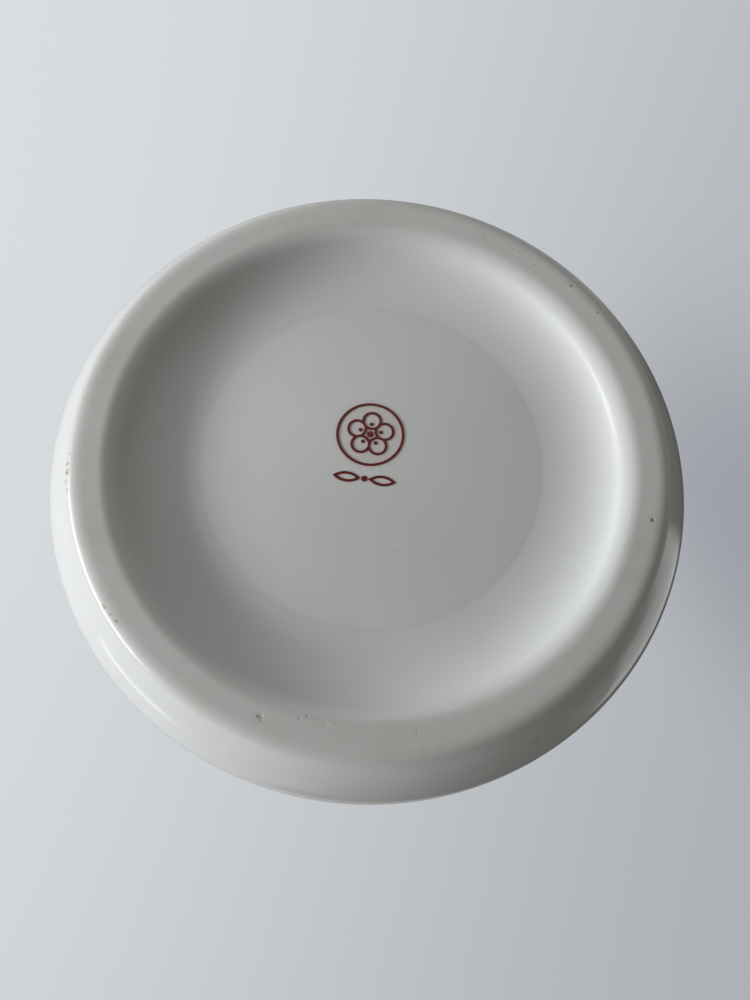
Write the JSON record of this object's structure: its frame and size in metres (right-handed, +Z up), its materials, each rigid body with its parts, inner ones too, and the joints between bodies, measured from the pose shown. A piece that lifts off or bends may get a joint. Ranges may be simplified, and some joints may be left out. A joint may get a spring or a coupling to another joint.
{
  "type": "porcelain vase",
  "caption": "White glazed porcelain vase with a straight round body, rounded shoulder, short flared neck and recessed base.",
  "frame": {"origin": "centre of the foot's contact plane, where the vase's axis meets the surface it stands on", "axes": "+Z up along the vase's axis, from the foot to the mouth; +X and +Y are free on this round shape"},
  "size_m": [0.115, 0.115, 0.245],
  "materials": {
    "foot_porcelain": "clear glossy glaze over white porcelain",
    "base_glaze": "clear glossy glaze over white porcelain",
    "body_glaze": "clear glossy glaze over white porcelain",
    "red_enamel": "thin iron-red overglaze enamel"
  },
  "bodies": {
    "root": {"foot_ring": "foot_porcelain", "base_floor": "base_glaze", "body_wall": "body_glaze", "shoulder": "body_glaze", "neck": "body_glaze", "base_mark": "red_enamel"}
  },
  "joints": []
}
